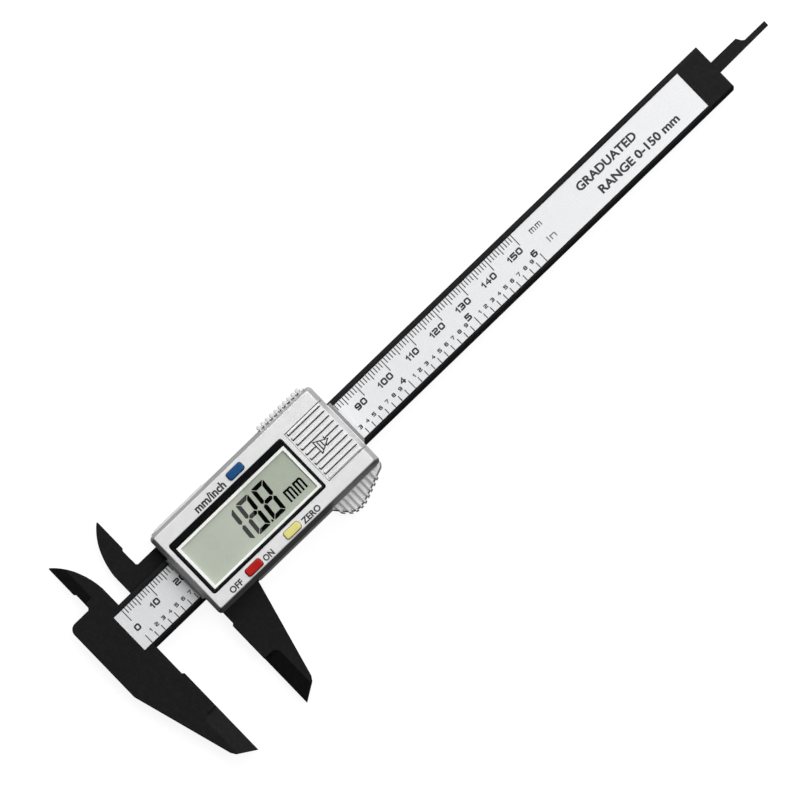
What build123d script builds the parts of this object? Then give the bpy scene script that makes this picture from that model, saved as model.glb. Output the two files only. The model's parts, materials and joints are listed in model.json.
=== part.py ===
from build123d import *
import math
import os

# A plastic digital caliper, 150 mm range, drawn with its jaws a little open.
#
# Everything is in millimetres. The pieces are drawn in a beam frame: X runs along the beam from the
# fixed outside jaw's measuring face, Y across the beam from its centre line, towards the inside jaws,
# and Z up from the plane that the slider's back lies in. The pieces of the slider are drawn from the
# slider's own datum line, just inside the moving jaw's measuring face, and moved along the beam to the
# drawn opening. The last step moves the whole caliper so that its origin is on the fixed jaw's
# measuring face.

# --- Driving dimensions -----------------------------------------------------------------------------
OPENING = 18.8  # jaw opening as drawn
JAW_SETBACK = 0.25  # from the moving jaw's measuring face to the slider's datum line
SIDE_GAP = 0.05  # beam edge to slider rail

# Beam and fixed jaws
BEAM_HALF = 7.9
BEAM_END = 223.0
BEAM_BACK = 2.1
BEAM_FRONT = 6.1
HALF_LAP_BACK = 4.05  # top of the moving inside jaw, which is in the back half
HALF_LAP_FRONT = 4.15  # underside of the fixed inside jaw, which is in the front half
HEAD_LEFT = -14.6
HEAD_TOP = 12.6
HEAD_BEND = -13.6  # where the fixed jaw's back turns towards its tip
EDGE_CHAMFER = (1.0, 0.6)  # across, deep: the beam's two long front edges
EDGE_BREAK = 0.25  # chamfer of the other front edges of the head and jaws

# Outside jaws: distances from the measuring face, and heights below the beam's centre line
JAW_TIP = -48.0
JAW_RELIEF = 0.6
JAW_FACE_TOP = -18.4
KNIFE_TOP = -31.0
KNIFE_WIDTH = 4.7
KNIFE_EDGE = 1.2  # thickness left at the measuring edge

# Inside jaws: both meet on the line INSIDE_EDGE when the caliper is closed
INSIDE_EDGE = -7.1
INSIDE_TIP = 28.7
INSIDE_NOTCH = 18.5
INSIDE_CURVE = ((0, 14.5), (-0.85, 18.99), (-2.5, 23.25), (-4.37, 26.15))  # the curved side's arcs
INSIDE_BEVEL = 3.2
INSIDE_LIP = 0.6  # thickness left at the measuring edge
ARM_BACK = 1.8  # back of the moving inside jaw and its arm
ARM_TOP = 12.35
ARM_ROOT = 1.2  # how far the arm runs on over the slider's base

# Scale, in a recess of the beam
SCALE_LEFT = -3.4
SCALE_RIGHT = 214.1
SCALE_HALF = 6.2
RECESS_FLOOR = 5.2
STRIP_TOP = 5.8
LABEL_TOP = 5.95
FIT = 0.1  # clearance of a piece lying in its recess

# Depth rod
ROD_BOTTOM = 2.4
ROD_TOP = 3.8
ROD_LOW = -1.85
ROD_HIGH = 2.0
ROD_START = 5.2
ROD_STEP = 213.6
ROD_PAD_X = (7.5, 20.5)  # the slider's pad that the rod is screwed to
CHANNEL_START = 4.5
CHANNEL_TOP = 3.9

# Slider: base plate and rails
SLIDER_MID = 0.58  # centre of the housing across the beam
BASE_TOP = 2.0
BASE_X = (0.3, 60.5)
BASE_Y = (-14.3, 15.35)
RAIL_TOP = 6.2
RAIL_X = (0.15, 60.3)
RAIL_OUTER = (-12.3, 13.4)

# Front housing: half sizes at the foot and at the front face
FOOT_Z = 2.0
END_FOOT_Z = 6.3  # the end walls stop here, over the beam
FACE_Z = 14.2
FACE_X = (1.0, 60.0)
END_X = (-0.4, 61.3)
FACE_HALF = 13.45
FOOT_HALF = 15.15
FOOT_CORNER = 1.7  # radius of the upright corners at the foot
FACE_CORNER = 0.5
FACE_BREAK = 0.2  # broken edge round the face
WALL = 1.2
PLATE_UNDER = 12.8

# Thumb grips of the housing
HUMP_OUTLINE = [  # seen from the front, with a root inside the housing's wall
    (41.1, -12.5),
    (41.1, -13.6),
    (44.4, -17.55),
    (46.0, -18.85),
    (47.8, -19.3),
    (49.9, -19.1),
    (51.8, -18.4),
    (60.0, -15.3),
    (61.0, -14.2),
    (61.0, -12.5),
]
HUMP_BOTTOM = 0.4  # outside the slider's base plate
HUMP_WALL = (-14.25, 4.6)  # where the hump's top leaves the housing: across, and up
HUMP_SLOPE = 6  # degrees
HUMP_DRAFT = 5  # degrees, of the hump's side
HUMP_RIBS = 9
HUMP_FIRST = 43.5
HUMP_PITCH = 1.69
HUMP_RIB_HEIGHT = 0.5
HUMP_RIB_CREST = 0.2  # half width of a rib along its crest
HUMP_RIB_FOOT = 0.82  # half width where it meets the hump's top
HUMP_RIB_SIDE = 0.42  # half width down the hump's side
TOP_RIBS = 10
TOP_RIB_FIRST = 43.15
TOP_RIB_PITCH = 1.645
TOP_RIB_RADIUS = 0.7
TOP_RIB_Y = 16.15
TOP_RIB_TOP = 6.5
TOP_LEDGE_X = (42.2, 59.4)  # the low ledge that the top ribs stand on
TOP_LEDGE_TOP = 3.4
STOP_LEDGE_X = (2.3, 20.8)  # the narrow ledge at the other end of the same side
STOP_LEDGE_TOP = 3.6

# Lips of the housing that cover the beam at its two ends
END_WALL_X = (0.9, 59.6)  # outside these the housing is open below END_FOOT_Z, for the beam
LEFT_LIP_X = (-1.0, 1.5)
RIGHT_LIP_X = (60.0, 62.25)
LIP_Y = (-7.3, 7.4)
LIP_BOTTOM = 6.35
LEFT_LIP_TOP = 7.5
RIGHT_LIP_TOP = 7.0

# Display
BEZEL_X = (2.4, 45.6)
BEZEL_Y = (-8.88, 9.72)
BEZEL_TOP = 14.3
LEDGE_Z = 13.4
BEZEL_SLOPE = 0.4  # chamfer round the opening
WHITE_X = (3.5, 44.7)
WHITE_Y = (-7.88, 7.62)
GLASS_X = (4.4, 43.75)
GLASS_Y = (-7.14, 6.76)
HOLDER_STEP = 13.3  # the wide part of the holder ends here, under the bezel's ledge
HOLDER_TOP = 13.9
WINDOW_Z = (13.92, 14.24)
LCD_Z = (11.6, 13.2)

# Circuit board and switches
BOARD_Z = (6.2, 7.2)
BOARD_X = (1.9, 45.6)
BOARD_Y = (-12.3, 13.1)
BUTTON_SIZE = (5.45, 2.35)
BUTTON_CORNER = 0.7
BUTTON_GAP = 0.15
BUTTON_TOP = 14.9
BUTTON_TRAVEL = 0.35
BUTTONS = {
    "mm_inch_button": (30.2, 11.7),
    "power_button": (15.5, -11.1),
    "zero_button": (30.3, -11.05),
}

# Battery, a 1.5 V button cell 11.6 mm across and 5.4 mm high, and its cover
CELL_CENTRE = (52.9, 0.67)
CELL_RADIUS = 5.8
CELL_Z = (7.45, 12.85)
TRAY_X = (46.4, 58.95)
TRAY_Y = (-8.9, 10.0)
TRAY_Z = (6.3, 11.9)
COVER_Y = (-8.13, 9.4)
COVER_LEFT = 47.1
COVER_UNDER = 13.1
COVER_FOOT = 7.2
RIB_COUNT = 10
RIB_PITCH = 1.84
RIB_FIRST = -7.85
RIB_HEIGHT = 0.42
RIB_X = (47.8, 59.4)
BROKEN_RIBS = {4: [(47.8, 50.8), (53.8, 59.4)], 5: [(47.8, 50.8), (54.5, 59.4)]}  # by the arrow
GROOVE = (0.32, 0.6)  # wide, deep: beside each rib and round the arrow
COVER_GAP = 0.25  # between the cover and the housing, at each side

# Screws, from the back
CASE_SCREWS = [(4.5, 11.9), (56.5, 11.9), (4.5, -10.8), (56.5, -10.8)]
BOARD_SCREWS = [(22.5, 11.2), (22.5, -10.4)]
ROD_SCREWS = [(10.5, 0.07), (17.5, 0.07)]
STOP_SCREWS = [(219.7, 4.6), (219.7, -4.6)]

# The part's origin: on the fixed jaw's measuring face, half way up its full-thickness stretch
ORIGIN = (0.0, (JAW_FACE_TOP + KNIFE_TOP) / 2, (BEAM_BACK + BEAM_FRONT) / 2)


# --- Shared shapes ----------------------------------------------------------------------------------
def slab(x, y, z):
    """A box from three (low, high) pairs."""
    size = Box(x[1] - x[0], y[1] - y[0], z[1] - z[0])
    return Pos((x[0] + x[1]) / 2, (y[0] + y[1]) / 2, (z[0] + z[1]) / 2) * size


def disc(centre, radius, z):
    """An upright cylinder from a centre (x, y), a radius and a (low, high) pair."""
    return Pos(centre[0], centre[1], (z[0] + z[1]) / 2) * Cylinder(radius, z[1] - z[0])


def plate(outline, z):
    """A flat piece with the given outline, which is a closed set of edges or a list of points."""
    if isinstance(outline, list):
        outline = Polyline(*outline, close=True)
    return Pos(0, 0, z[0]) * extrude(make_face(outline), amount=z[1] - z[0])


def bar_x(points, x):
    """A bar along X whose section is a list of (y, z) points."""
    face = Plane.YZ * make_face(Polyline(*points, close=True))
    return Pos(x[0], 0, 0) * extrude(face, amount=x[1] - x[0], dir=(1, 0, 0))


def bar_y(points, y):
    """A bar along Y whose section is a list of (x, z) points."""
    face = Plane.XZ * make_face(Polyline(*points, close=True))
    return Pos(0, y[0], 0) * extrude(face, amount=y[1] - y[0], dir=(0, 1, 0))


def octagon(x, y, corner, z):
    """A rectangle with cut corners, at height z."""
    points = [
        (x[0] + corner, y[0]),
        (x[1] - corner, y[0]),
        (x[1], y[0] + corner),
        (x[1], y[1] - corner),
        (x[1] - corner, y[1]),
        (x[0] + corner, y[1]),
        (x[0], y[1] - corner),
        (x[0], y[0] + corner),
    ]
    return Pos(0, 0, z) * make_face(Polyline(*points, close=True))


def rounded_slab(x, y, z, radius):
    """A box with its four upright edges rounded."""
    outline = RectangleRounded(x[1] - x[0], y[1] - y[0], radius)
    return Pos((x[0] + x[1]) / 2, (y[0] + y[1]) / 2, z[0]) * extrude(outline, amount=z[1] - z[0])


def screw(centre, head_radius, head_z, shank_radius, shank_top):
    """A pan-head screw standing on its head, with a cross recess in the head's underside."""
    head = disc(centre, head_radius, head_z)
    head = chamfer(head.edges().group_by(Axis.Z)[0], 0.18)
    recess_depth = 0.45 * (head_z[1] - head_z[0])
    arm = 1.15 * head_radius
    slot = 0.28 * head_radius
    cross = Box(arm, slot, recess_depth) + Box(slot, arm, recess_depth)
    head -= Pos(centre[0], centre[1], head_z[0] + recess_depth / 2) * cross
    return head + disc(centre, shank_radius, (head_z[1] - 0.01, shank_top))


def grow(pair, amount):
    """A (low, high) pair made wider at both ends."""
    return (pair[0] - amount, pair[1] + amount)


def slider(shape):
    """Moves a piece of the slider to the drawn opening."""
    return Pos(OPENING + JAW_SETBACK, 0, 0) * shape


# --- Beam and fixed jaws ----------------------------------------------------------------------------
def knife_cut(back):
    """What is cut from an outside jaw's front to leave a thin measuring edge; the jaw is at x > 0."""
    edge_z = back + KNIFE_EDGE
    over = 1.0
    slope = (BEAM_FRONT - edge_z) / KNIFE_WIDTH
    section = [
        (-over, edge_z - slope * over),
        (KNIFE_WIDTH, BEAM_FRONT),
        (KNIFE_WIDTH, BEAM_FRONT + over),
        (-over, BEAM_FRONT + over),
    ]
    bottom = JAW_TIP - over
    wedge = bar_y(section, (bottom, KNIFE_TOP))
    run_out = Pos((KNIFE_WIDTH - over) / 2, (KNIFE_TOP + bottom) / 2)
    plan = run_out * Rectangle(KNIFE_WIDTH + over, KNIFE_TOP - bottom)
    corner = plan.vertices().group_by(Axis.Y)[-1].sort_by(Axis.X)[-1]
    plan = fillet(corner, 2.0)
    return wedge & extrude(plan, amount=2 * BEAM_FRONT)


def jaw_blade(root_x, root_y, back):
    """An outside jaw at x > 0, with its measuring face on x = 0, from its root down to its tip."""
    outline = [
        (JAW_RELIEF, root_y),
        (JAW_RELIEF, JAW_FACE_TOP + 0.5),
        (0, JAW_FACE_TOP),
        (0, JAW_TIP),
        (5.2, -44.7),
        (6.1, -43.3),
        (root_x, HEAD_BEND),
        (root_x, root_y),
    ]
    return plate(outline, (back, BEAM_FRONT))


def inside_jaw(root_y, arm_end, arm_top, z):
    """An inside jaw and its arm: curved side on x = 0, measuring edge on INSIDE_EDGE."""
    step = 0.5
    shoulder = INSIDE_EDGE + step
    start, lower_middle, joint, upper_middle = INSIDE_CURVE
    tip = (INSIDE_EDGE + 0.3, INSIDE_TIP)
    curve = ThreePointArc(start, lower_middle, joint) + ThreePointArc(joint, upper_middle, tip)
    rest = Polyline(
        tip,
        (INSIDE_EDGE, INSIDE_TIP - 0.2),
        (INSIDE_EDGE, INSIDE_NOTCH),
        (shoulder, INSIDE_NOTCH - step),
        (shoulder, arm_top + step),
        (shoulder - step, arm_top),
        (arm_end, arm_top),
        (arm_end, root_y),
        (0, root_y),
        start,
    )
    return plate(curve + rest, z)


def inside_bevel(front):
    """The slope cut from an inside jaw beside its measuring edge, in front of the level given."""
    top = BEAM_FRONT
    section = [
        (INSIDE_EDGE - 1, front),
        (INSIDE_EDGE, front),
        (INSIDE_EDGE + INSIDE_BEVEL, top),
        (INSIDE_EDGE + INSIDE_BEVEL, top + 1),
        (INSIDE_EDGE - 1, top + 1),
    ]
    return bar_y(section, (14.5, INSIDE_TIP + 1))


def main_beam():
    """The beam with its fixed outside jaw and fixed inside jaw, moulded in one piece."""
    end = 0.6
    beam = plate(
        [
            (HEAD_LEFT, BEAM_HALF),
            (HEAD_LEFT, HEAD_BEND),
            (0, HEAD_BEND),
            (0, -BEAM_HALF),
            (BEAM_END - end, -BEAM_HALF),
            (BEAM_END, -BEAM_HALF + end),
            (BEAM_END, BEAM_HALF),
        ],
        (BEAM_BACK, BEAM_FRONT),
    )
    beam -= slab((-JAW_RELIEF, 1), (-15, -BEAM_HALF), (0, 9))
    jaw = mirror(jaw_blade(-HEAD_LEFT, -13.0, BEAM_BACK), about=Plane.YZ)
    body = beam + jaw

    # the inside jaw and the head above the beam are in the front half only
    inside = inside_jaw(BEAM_HALF - 0.1, HEAD_LEFT, HEAD_TOP, (HALF_LAP_FRONT, BEAM_FRONT))
    corner = inside.edges().filter_by(Axis.Z).group_by(Axis.X)[0].sort_by(Axis.Y)[-1]
    body += fillet(corner, 2.3)

    # broken front edges round the head and jaws, then the jaws' measuring bevels
    rim = body.faces().sort_by(Axis.Z)[-1].outer_wire().edges()
    body = chamfer(rim.filter_by(lambda edge: edge.center().X < -0.1), EDGE_BREAK)
    body -= inside_bevel(HALF_LAP_FRONT + INSIDE_LIP)
    body -= mirror(knife_cut(BEAM_BACK), about=Plane.YZ)

    # the beam's long front edges
    across, deep = EDGE_CHAMFER
    for side, start in ((1, 0.0), (-1, -JAW_RELIEF)):
        section = [
            (side * (BEAM_HALF - across), BEAM_FRONT),
            (side * (BEAM_HALF + 0.2), BEAM_FRONT - deep * (1 + 0.2 / across)),
            (side * (BEAM_HALF + 0.2), BEAM_FRONT + 1),
            (side * (BEAM_HALF - across), BEAM_FRONT + 1),
        ]
        body -= bar_x(section, (start, BEAM_END + 1))

    # the recess for the scale
    body -= slab(
        (SCALE_LEFT - FIT, SCALE_RIGHT + FIT),
        (-SCALE_HALF - FIT, SCALE_HALF + FIT),
        (RECESS_FLOOR, BEAM_FRONT + 1),
    )

    # the channel that the depth rod runs in, and the seat of the end plate
    body -= slab(
        (CHANNEL_START, BEAM_END + 1), (ROD_LOW - FIT, ROD_HIGH + FIT), (BEAM_BACK - 1, CHANNEL_TOP)
    )
    body -= slab((216.8, 222.6), (-6.55, 6.55), (BEAM_BACK - 1, 2.3))
    for centre in STOP_SCREWS:
        body -= disc(centre, 0.72, (BEAM_BACK, 5.0))
    return body


def scale_circuit_strip():
    """The printed circuit that the read head senses, lying in the beam's recess."""
    return slab((SCALE_LEFT, SCALE_RIGHT), (-SCALE_HALF, SCALE_HALF), (RECESS_FLOOR, STRIP_TOP))


def scale_label():
    """The printed scale on top of the circuit strip."""
    return slab((SCALE_LEFT, SCALE_RIGHT), (-SCALE_HALF, SCALE_HALF), (STRIP_TOP, LABEL_TOP))


def end_stop_plate():
    """The plate across the channel at the beam's end, which stops the slider."""
    body = rounded_slab((216.9, 222.5), (-6.45, 6.45), (1.5, 2.3), 0.8)
    for centre in STOP_SCREWS:
        body -= disc(centre, 0.85, (1, 3))
    return body


def end_stop_screws():
    return Compound([screw(c, 1.4, (0.8, 1.5), 0.7, 4.8) for c in STOP_SCREWS])


# --- Slider frame -----------------------------------------------------------------------------------
def rail(x, y, z):
    """A rail beside the beam, at y > 0, with its two outer corners cut to clear the housing."""
    cut = 1.8
    outline = [
        (x[0], y[0]),
        (x[1], y[0]),
        (x[1], y[1] - cut),
        (x[1] - cut, y[1]),
        (x[0] + cut, y[1]),
        (x[0], y[1] - cut),
    ]
    return plate(outline, z)


def slider_frame():
    """The slider's moulding: base plate, rails, and the moving outside and inside jaws."""
    base = rounded_slab(BASE_X, BASE_Y, (0, BASE_TOP), 1.5)
    base = chamfer(base.edges().group_by(Axis.Z)[0], 0.35)
    rail_in = BEAM_HALF + SIDE_GAP
    rail_z = (BASE_TOP - 0.5, RAIL_TOP)
    body = base + rail(RAIL_X, (rail_in, RAIL_OUTER[1]), rail_z)
    low_rail_x = (JAW_RELIEF - JAW_SETBACK, RAIL_X[1])
    body += mirror(rail(low_rail_x, (rail_in, -RAIL_OUTER[0]), rail_z), about=Plane.XZ)
    jaw = jaw_blade(13.9, -rail_in, BASE_TOP)
    front_edges = jaw.faces().sort_by(Axis.Z)[-1].edges()
    jaw = chamfer(front_edges.filter_by(lambda edge: edge.center().Y < -rail_in - 1), EDGE_BREAK)
    body += Pos(-JAW_SETBACK, 0, 0) * (jaw - knife_cut(BASE_TOP))

    # the arm and inside jaw are in the back half; they are the fixed jaw's outline turned over the
    # line where the two inside jaws meet
    arm_end = 2 * INSIDE_EDGE - ARM_ROOT
    arm = inside_jaw(rail_in, arm_end, ARM_TOP, (ARM_BACK, HALF_LAP_BACK))
    arm = mirror(arm, about=Plane.YZ.offset(INSIDE_EDGE))
    bevel_slope = [
        (INSIDE_EDGE + 1, HALF_LAP_BACK - INSIDE_LIP),
        (INSIDE_EDGE, HALF_LAP_BACK - INSIDE_LIP),
        (INSIDE_EDGE - INSIDE_BEVEL, ARM_BACK),
        (INSIDE_EDGE - INSIDE_BEVEL, ARM_BACK - 1),
        (INSIDE_EDGE + 1, ARM_BACK - 1),
    ]
    arm -= bar_y(bevel_slope, (14.5, INSIDE_TIP + 1))
    body += Pos(-JAW_SETBACK, 0, 0) * arm

    # pad that carries the depth rod, reaching into the beam's channel
    body += slab(ROD_PAD_X, (-1.6, 1.75), (BASE_TOP - 0.5, ROD_BOTTOM))

    # seat of the rear label, pocket of the gib spring, screw holes
    body -= slab((8, 54), (-9.5, 10.5), (-1, 0.25))
    body -= slab((11.5, 48.5), (7, 8.95), (2.8, 5.6))
    for centre in CASE_SCREWS:
        body -= disc(centre, 1.4, (-1, 1.15))
        body -= disc(centre, 0.8, (1, 7))
    for centre in ROD_SCREWS:
        body -= disc(centre, 1.3, (-1, 1.1))
        body -= disc(centre, 0.65, (1, 3))
    for centre in BOARD_SCREWS:
        body -= disc(centre, 0.62, (3.4, 7))
    return body


def gib_spring():
    """A thin bowed strip in the upper rail that takes up the play against the beam's edge."""
    thick = 0.22
    inner = ThreePointArc((12.0, 8.6), (30.0, 8.02), (48.0, 8.6))
    outer = ThreePointArc((48.0, 8.6 + thick), (30.0, 8.02 + thick), (12.0, 8.6 + thick))
    ends = Line((48.0, 8.6), (48.0, 8.6 + thick)) + Line((12.0, 8.6 + thick), (12.0, 8.6))
    return plate(inner + outer + ends, (3.0, 5.4))


def depth_rod():
    """The flat rod screwed to the slider; its end is level with the beam's end when closed."""
    end = BEAM_END - JAW_SETBACK
    outline = [
        (ROD_START, ROD_LOW),
        (ROD_STEP - 10, ROD_LOW),
        (end, ROD_LOW + 0.25),
        (end, 0.0),
        (ROD_STEP + 1.6, 0.0),
        (ROD_STEP + 0.9, 0.5),
        (ROD_STEP, ROD_HIGH),
        (ROD_START, ROD_HIGH),
    ]
    body = plate(outline, (ROD_BOTTOM, ROD_TOP))
    for centre in ROD_SCREWS:
        body -= disc(centre, 0.62, (ROD_BOTTOM - 1, 3.45))
    return body


def depth_rod_screws():
    return Compound([screw(c, 1.2, (0.3, 1.1), 0.6, 3.4) for c in ROD_SCREWS])


def rear_label():
    return rounded_slab((8.15, 53.85), (-9.35, 10.35), (0.1, 0.25), 0.6)


def case_screws():
    return Compound([screw(c, 1.25, (0.25, 1.15), 0.7, 10.0) for c in CASE_SCREWS])


# --- Front housing ----------------------------------------------------------------------------------
def housing_section(z, inset=0.0):
    """How far the tapered housing reaches at height z, less inset: along X, along Y, and its taper
    from 0 at the foot to 1 at the face."""
    rise = (z - END_FOOT_Z) / (FACE_Z - END_FOOT_Z)
    left = END_X[0] + (FACE_X[0] - END_X[0]) * rise + inset
    right = END_X[1] + (FACE_X[1] - END_X[1]) * rise - inset
    taper = (z - FOOT_Z) / (FACE_Z - FOOT_Z)
    half = FOOT_HALF + (FACE_HALF - FOOT_HALF) * taper - inset
    return (left, right), (SLIDER_MID - half, SLIDER_MID + half), taper


def outer_block():
    """The housing's outside: a tapered block with rounded corners and a broken edge round its face."""
    sections = []
    for z, inset in ((FOOT_Z, 0), (FACE_Z - FACE_BREAK, 0), (FACE_Z, FACE_BREAK)):
        x, y, taper = housing_section(z, inset)
        radius = FOOT_CORNER + (FACE_CORNER - FOOT_CORNER) * taper - inset
        outline = RectangleRounded(x[1] - x[0], y[1] - y[0], radius)
        sections.append(Pos((x[0] + x[1]) / 2, SLIDER_MID, z) * outline)
    return loft(sections, ruled=True)


def inner_block(inset, z_low, z_high):
    """A block inside the housing's outside, smaller all round by inset, with cut corners."""
    sections = []
    for z in (z_low, z_high):
        x, y, taper = housing_section(z, inset)
        sections.append(octagon(x, y, 1.9 - 1.5 * taper, z))
    return loft(sections, ruled=True)


def hump_room(outset, z):
    """A tapered block with the hump's outline, larger all round by outset, standing at height z."""
    outline = make_face(Polyline(*HUMP_OUTLINE, close=True))
    if outset:
        outline = offset(outline, amount=outset, kind=Kind.INTERSECTION)
    return Pos(0, 0, z) * extrude(outline, amount=HUMP_WALL[1] + 1, taper=HUMP_DRAFT)


def thumb_hump():
    """The hump: its top slopes gently from the housing, with ribs along it and down its side."""
    wall_y, wall_z = HUMP_WALL
    beyond = -22.0
    drop = math.tan(math.radians(HUMP_SLOPE)) * (wall_y - beyond)
    above = [(wall_y, wall_z), (beyond, wall_z - drop), (beyond, 20), (-10, 20), (-10, wall_z)]
    hump = hump_room(0, HUMP_BOTTOM) - bar_x(above, (40, 63))
    within, proud = hump_room(-0.1, HUMP_BOTTOM), hump_room(0.5, HUMP_BOTTOM + 0.5)
    ridge = [
        (-HUMP_RIB_FOOT, -0.1),
        (-HUMP_RIB_FOOT, 0),
        (-HUMP_RIB_CREST, HUMP_RIB_HEIGHT),
        (HUMP_RIB_CREST, HUMP_RIB_HEIGHT),
        (HUMP_RIB_FOOT, 0),
        (HUMP_RIB_FOOT, -0.1),
    ]
    low = -wall_z
    upright = [
        (-HUMP_RIB_SIDE, low),
        (-HUMP_RIB_SIDE, 0),
        (-HUMP_RIB_CREST, HUMP_RIB_HEIGHT),
        (HUMP_RIB_CREST, HUMP_RIB_HEIGHT),
        (HUMP_RIB_SIDE, 0),
        (HUMP_RIB_SIDE, low),
    ]
    for index in range(HUMP_RIBS):
        down_slope = Pos(HUMP_FIRST + index * HUMP_PITCH, wall_y, wall_z) * Rot(HUMP_SLOPE, 0, 0)
        hump += (down_slope * bar_y(ridge, (-11, 0.3))) & within
        hump += (down_slope * bar_y(upright, (-11, 0.3))) & proud
    return hump - slab((40, 63), (BASE_Y[0] - 0.1, -10), (0, FOOT_Z))


def top_grip():
    """A row of upright round ribs on the housing's upper side, standing on a low ledge."""
    body = slab(TOP_LEDGE_X, (14.0, TOP_RIB_Y - 0.4), (FOOT_Z, TOP_LEDGE_TOP))
    for index in range(TOP_RIBS):
        x = TOP_RIB_FIRST + index * TOP_RIB_PITCH
        rib = disc((x, TOP_RIB_Y), TOP_RIB_RADIUS, (FOOT_Z, TOP_RIB_TOP))
        body += chamfer(rib.edges().group_by(Axis.Z)[-1], 0.25)
        body += slab((x - 0.3, x + 0.3), (14.4, TOP_RIB_Y - 0.5), (FOOT_Z, TOP_RIB_TOP - 0.3))
    return body


def front_housing():
    """The silver shell over the slider: tapered walls, front plate, thumb grips and screw bosses."""
    body = outer_block()
    body -= slab((-3, END_WALL_X[0]), (-20, 20), (0, END_FOOT_Z))
    body -= slab((END_WALL_X[1], 64), (-20, 20), (0, END_FOOT_Z))

    # thumb grips and a narrow ledge
    body += thumb_hump()
    body += top_grip()
    ledge_y = SLIDER_MID + FOOT_HALF + 0.3
    body += slab(STOP_LEDGE_X, (ledge_y - 1.3, ledge_y), (FOOT_Z, STOP_LEDGE_TOP))

    # lips that cover the beam at each end, the right one with a cut corner
    body += slab(LEFT_LIP_X, LIP_Y, (LIP_BOTTOM, LEFT_LIP_TOP))
    start, end = RIGHT_LIP_X
    low, high = LIP_Y
    right_lip = [(start, low), (end - 0.9, low), (end, low + 1.0), (end, high), (start, high)]
    body += plate(right_lip, (LIP_BOTTOM, RIGHT_LIP_TOP))

    # hollow inside, and open where the moving jaw comes out
    body -= inner_block(WALL, FOOT_Z - 1, PLATE_UNDER)
    body -= slab((0, 14.0), (-16, -11), (0, END_FOOT_Z))

    # screw bosses
    for centre in CASE_SCREWS:
        body += disc(centre, 1.6, (RAIL_TOP, PLATE_UNDER + 0.2)) & inner_block(0.4, FOOT_Z, FACE_Z)
        body -= disc(centre, 0.72, (RAIL_TOP - 1, 10.6))

    # display opening, with the ledge that the bezel sits on
    body -= rounded_slab(grow(BEZEL_X, 0.05), grow(BEZEL_Y, 0.05), (LEDGE_Z, 16), 0.85)
    body -= slab((3.2, 44.9), (-8.05, 7.8), (PLATE_UNDER - 1, 16))

    # button holes, with room under the front plate for each button's flange
    for centre in BUTTONS.values():
        half_x, half_y = BUTTON_SIZE[0] / 2 + BUTTON_GAP, BUTTON_SIZE[1] / 2 + BUTTON_GAP
        hole_x = (centre[0] - half_x, centre[0] + half_x)
        hole_y = (centre[1] - half_y, centre[1] + half_y)
        body -= rounded_slab(hole_x, hole_y, (9.0, 16), BUTTON_CORNER + BUTTON_GAP)
        body -= slab(grow(hole_x, 0.9), hole_y, (9.0, PLATE_UNDER))

    # battery opening: the plate's cut-out, the end wall's notch, and the cover's guide slots
    opening_left = COVER_LEFT - 0.1
    opening_y = grow(COVER_Y, COVER_GAP)
    body -= slab((opening_left, 63), opening_y, (COVER_UNDER - 0.06, 16))
    body -= slab((opening_left, 59.4), opening_y, (PLATE_UNDER - 1, 16))
    body -= slab((58.9, 63), opening_y, (COVER_FOOT - 0.1, 16))
    body -= slab((opening_left, 63), grow(COVER_Y, 0.7), (11.95, 12.85))
    return body


def display_bezel():
    """The gloss black frame around the display."""
    body = rounded_slab(BEZEL_X, BEZEL_Y, (LEDGE_Z, BEZEL_TOP), 0.8)
    body = chamfer(body.faces().sort_by(Axis.Z)[-1].edges(), 0.12)
    body -= slab(WHITE_X, WHITE_Y, (LEDGE_Z - 1, 16))
    rim = body.faces().sort_by(Axis.Z)[-1].inner_wires()[0].edges()
    return chamfer(rim, BEZEL_SLOPE)


def display_window():
    return slab(grow(WHITE_X, -0.05), grow(WHITE_Y, -0.05), WINDOW_Z)


def lcd_holder():
    """The white frame that holds the display's glass and its rubber connectors on the board."""
    body = slab((2.9, 45.1), (-8.3, 8.0), (BOARD_Z[1], 12.7))
    body += slab((3.3, 44.8), (-7.95, 7.7), (12.5, HOLDER_STEP))
    body += slab(grow(WHITE_X, -0.04), grow(WHITE_Y, -0.04), (HOLDER_STEP - 0.1, HOLDER_TOP))
    body -= slab((3.7, 44.4), (-7.7, 7.4), (BOARD_Z[1] - 1, LCD_Z[1] + 0.05))
    return body - slab(GLASS_X, GLASS_Y, (12, 15))


def lcd_panel():
    return slab((3.75, 44.35), (-7.65, 7.35), LCD_Z)


def lcd_reflector():
    return slab((4.0, 44.1), (-5.75, 5.45), (LCD_Z[0] - 0.2, LCD_Z[0]))


def zebra_strips():
    """The two rubber connectors between the board and the glass."""
    rows = [(-7.6, -5.9), (5.6, 7.3)]
    return Compound([slab((6, 42), row, (BOARD_Z[1], LCD_Z[0])) for row in rows])


# --- Electronics ------------------------------------------------------------------------------------
def main_circuit_board():
    body = slab(BOARD_X, BOARD_Y, BOARD_Z)
    body -= slab((0, 6.4), (10.0, 14), (5, 8))
    body -= slab((0, 6.4), (-13, -8.9), (5, 8))
    for centre in BOARD_SCREWS:
        body -= disc(centre, 0.75, (5, 8))
    return body


def controller_chip():
    """The drop of black resin over the controller."""
    top = BOARD_Z[1]
    rise = 1.1
    radius = 4.0
    ball = (radius**2 + rise**2) / (2 * rise)
    cap = Pos(24, 0, top + rise - ball) * Sphere(ball)
    return cap & slab((18, 30), (-6, 6), (top, top + 2))


def board_components():
    """Small resistors and capacitors beside the controller."""
    top = BOARD_Z[1]
    places = [(32, 3.0), (32, 0.5), (32, -2.0), (36, 3.0), (36, 0.5), (14, 2.5), (14, -1.5)]
    return Compound([slab((x, x + 1.6), (y, y + 0.8), (top, top + 0.6)) for x, y in places])


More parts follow.
